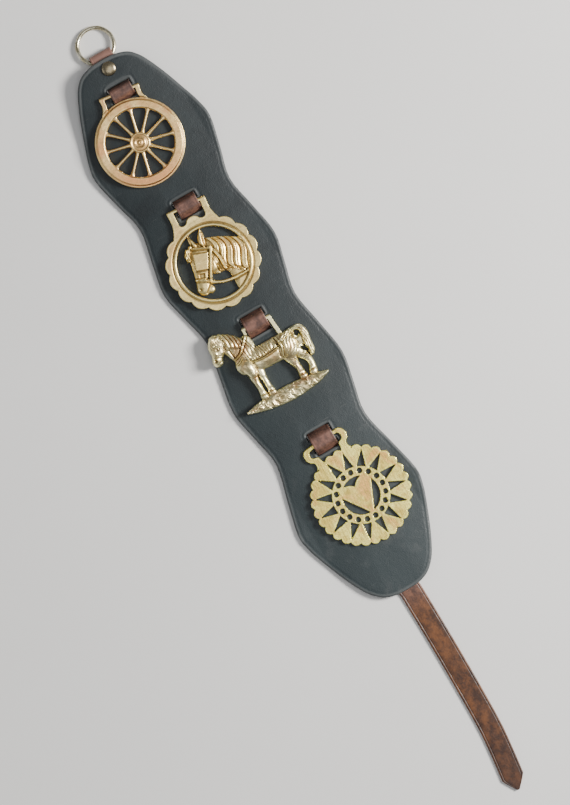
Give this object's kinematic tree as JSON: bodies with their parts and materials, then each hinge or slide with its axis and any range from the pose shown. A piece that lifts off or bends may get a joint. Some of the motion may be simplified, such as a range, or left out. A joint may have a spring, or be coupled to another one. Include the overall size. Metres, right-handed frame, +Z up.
{
  "type": "horse brass martingale",
  "caption": "Wavy leather martingale with four openwork horse brasses on strap loops, a hanging ring and a pointed strap tail.",
  "frame": {"origin": "middle of the underside of the whole martingale's box, as it lies face up", "axes": "+Y along the strap towards the ring, +Z up out of the face with the brasses, +X to the right seen from above"},
  "size_m": [0.1126, 0.7248, 0.0172],
  "materials": {
    "backing_leather": "worn black leather, satin",
    "strap_leather": "mottled brown leather, burnished",
    "ring_metal": "pale worn plating, satin",
    "rivet_metal": "pale worn plating, polished",
    "wheel_brass_metal": "cast brass, pale gold with coppery tints",
    "head_brass_metal": "cast brass, even khaki gold",
    "horse_brass_metal": "cast brass with dark recesses",
    "heart_brass_metal": "brushed stamped brass with orange patches"
  },
  "bodies": {
    "martingale": {"backing": "backing_leather", "strap": "strap_leather", "ring": "ring_metal", "rivet": "rivet_metal", "standing_horse_brass": "horse_brass_metal"},
    "wheel": {"wheel_brass": "wheel_brass_metal"},
    "horse_head": {"horse_head_brass": "head_brass_metal"},
    "heart": {"heart_brass": "heart_brass_metal"}
  },
  "joints": [
    {"name": "wheel_swing", "type": "hinge", "parent": "martingale", "child": "wheel", "pos_m": [-0.00115, 0.30114, 0.0122], "axis": [-0.9925, 0.1217, 0.006], "range_deg": [0, 110]},
    {"name": "horse_head_swing", "type": "hinge", "parent": "martingale", "child": "horse_head", "pos_m": [-0.00025, 0.19314, 0.00795], "axis": [-0.9976, 0.0698, 0], "range_deg": [0, 110]},
    {"name": "heart_swing", "type": "hinge", "parent": "martingale", "child": "heart", "pos_m": [-0.00025, -0.02986, 0.00745], "axis": [-0.9945, -0.1045, 0], "range_deg": [0, 110]}
  ]
}
